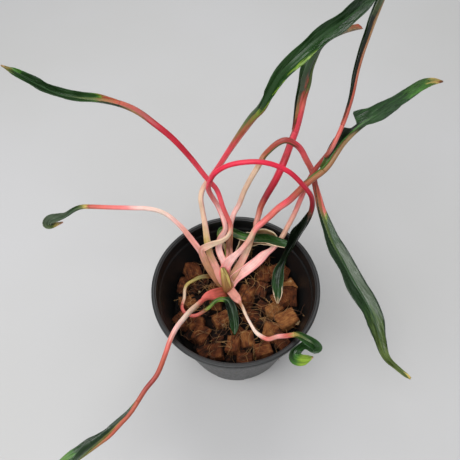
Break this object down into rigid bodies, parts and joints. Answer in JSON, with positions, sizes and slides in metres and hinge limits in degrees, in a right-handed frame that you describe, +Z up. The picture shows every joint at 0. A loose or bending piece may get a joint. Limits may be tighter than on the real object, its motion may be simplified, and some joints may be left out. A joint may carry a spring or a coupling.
{
  "type": "potted medusa chinese evergreen",
  "caption": "Young aroid with long curled, twisted dark green leaves on pink and cream stalks, standing in a round black nursery pot of coconut husk chips.",
  "frame": {"origin": "middle of the pot's flat underside", "axes": "+Z up out of the pot; -Y is the front of the plant, +X its right"},
  "size_m": [0.4038, 0.3498, 0.3092],
  "materials": {
    "pot_plastic": "moulded black polypropylene, slightly satin",
    "coconut_husk": "cut coconut husk chips, fibrous and matt",
    "cream_sheath": "smooth cream and pale pink leaf sheaths, softly shining",
    "pink_stalk": "smooth leaf stalk, cream to pink and red, softly shining",
    "leaf_blade": "leathery dark green blade, glossy on its upper face",
    "young_leaf": "rolled olive green young leaf",
    "dry_sheath": "papery dry sheath, matt"
  },
  "bodies": {
    "root": {"pot": "pot_plastic", "husk_chips": "coconut_husk", "crown": "cream_sheath", "new_leaf": "young_leaf", "dry_sheath": "dry_sheath", "long_left_stalk": "pink_stalk", "long_left_blade": "leaf_blade", "big_back_stalk": "pink_stalk", "big_back_blade": "leaf_blade", "folded_back_stalk": "pink_stalk", "folded_back_blade": "leaf_blade", "arched_stalk": "pink_stalk", "arched_blade": "leaf_blade", "tall_right_stalk": "pink_stalk", "tall_right_blade": "leaf_blade", "twisted_right_stalk": "pink_stalk", "twisted_right_blade": "leaf_blade", "hanging_right_stalk": "pink_stalk", "hanging_right_blade": "leaf_blade", "hooked_left_stalk": "pink_stalk", "hooked_left_blade": "leaf_blade", "front_left_stalk": "pink_stalk", "front_left_blade": "leaf_blade", "looped_in_pot_stalk": "pink_stalk", "looped_in_pot_blade": "leaf_blade", "kinked_front_stalk": "pink_stalk", "kinked_front_blade": "leaf_blade", "low_back_stalk": "pink_stalk", "low_back_blade": "leaf_blade"}
  },
  "joints": []
}
